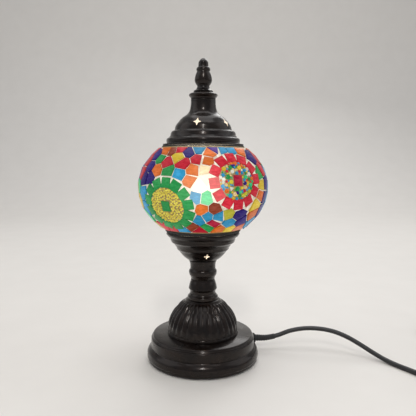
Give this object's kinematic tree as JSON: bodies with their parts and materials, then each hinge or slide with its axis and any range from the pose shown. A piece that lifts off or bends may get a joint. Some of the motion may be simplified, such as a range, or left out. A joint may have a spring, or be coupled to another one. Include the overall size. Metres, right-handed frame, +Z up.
{
  "type": "table lamp",
  "caption": "Table lamp with a turned dark-bronze foot and stem, an open glass globe covered in mosaic, a pierced bell cap with finial, a bulb inside and a mains cord.",
  "frame": {"origin": "centre of the felt pad's underside, on the surface that the lamp stands on", "axes": "+Z up along the lamp's turned axis, +X towards the side where the cord is laid, -Y towards the front"},
  "size_m": [0.4024, 0.1745, 0.3038],
  "materials": {
    "bronze": "near-black bronze lacquer over turned metal, semi-gloss",
    "steel": "zinc-plated steel",
    "iron": "rough cast iron",
    "brass": "pressed brass",
    "globe_glass": "clear blown glass",
    "bulb_glass": "bulb glass, frosted inside",
    "mosaic": "coloured glass pieces and seed beads in pale grout",
    "rubber": "black rubber",
    "cord": "black PVC sheath",
    "black_plastic": "moulded black plastic, fine texture",
    "phenolic": "moulded phenolic",
    "porcelain": "glazed porcelain",
    "felt": "dark green felt",
    "filament": "glowing tungsten wire"
  },
  "bodies": {
    "base": {"felt_pad": "felt", "bottom_plate": "steel", "base_shell": "bronze", "base_weight": "iron", "base_washer": "steel", "base_nut": "steel", "fluted_dome": "bronze", "lower_vase": "bronze", "upper_neck": "bronze", "threaded_tube": "steel", "lower_cup": "bronze", "harp": "steel", "harp_washer": "steel", "stem_nut": "brass", "cap_stud": "steel", "stud_nut": "brass", "lampholder_base": "phenolic", "lampholder_core": "porcelain", "lampholder_sleeve": "phenolic", "lampholder_screw_shell": "brass", "lampholder_contact": "brass", "globe_seat_ring": "rubber", "cord_grommet": "rubber", "inner_lead": "cord", "cord_to_switch": "cord", "cord_to_coil": "cord", "cord_to_plug": "cord", "cord_coil": "cord", "switch_lower_case": "black_plastic", "switch_upper_case": "black_plastic", "switch_screw_1": "steel", "switch_screw_2": "steel", "plug_body": "black_plastic", "plug_pin_1": "brass", "plug_pin_2": "brass"},
    "globe": {"glass_globe": "globe_glass", "mosaic_layer": "mosaic", "cap_seat_ring": "rubber"},
    "cap": {"top_cap": "bronze", "cap_collar": "bronze"},
    "finial_lift": {"finial_washer": "steel"},
    "finial": {"finial": "bronze"},
    "bulb_lift": {"bulb_tip": "porcelain"},
    "bulb": {"bulb_cap": "brass", "bulb_glass": "bulb_glass", "bulb_stem": "bulb_glass", "bulb_filament": "filament"},
    "rocker": {"switch_rocker": "black_plastic"}
  },
  "joints": [
    {"name": "globe_lift", "type": "slide", "parent": "base", "child": "globe", "axis": [0, 0, 1], "range_m": [0, 0.15]},
    {"name": "cap_lift", "type": "slide", "parent": "globe", "child": "cap", "axis": [0, 0, 1], "range_m": [0, 0.06]},
    {"name": "finial_rise", "type": "slide", "parent": "cap", "child": "finial_lift", "axis": [0, 0, 1], "range_m": [0, 0.00635]},
    {"name": "finial_turn", "type": "hinge", "parent": "finial_lift", "child": "finial", "pos_m": [0, 0, 0.2716], "axis": [0, 0, 1], "range_deg": [0, 3240]},
    {"name": "bulb_rise", "type": "slide", "parent": "base", "child": "bulb_lift", "axis": [0, 0, 1], "range_m": [0, 0.0114]},
    {"name": "bulb_turn", "type": "hinge", "parent": "bulb_lift", "child": "bulb", "pos_m": [0, 0, 0.1362], "axis": [0, 0, 1], "range_deg": [0, 1440]},
    {"name": "switch_rock", "type": "hinge", "parent": "base", "child": "rocker", "pos_m": [0.268, -0.067, 0.012], "axis": [0, 1, 0], "range_deg": [-20, 0]}
  ],
  "couplings": [
    {"joint": "finial_turn", "follows": "finial_rise", "rad_per_m": 8905.3},
    {"joint": "bulb_turn", "follows": "bulb_rise", "rad_per_m": 2204.6}
  ]
}
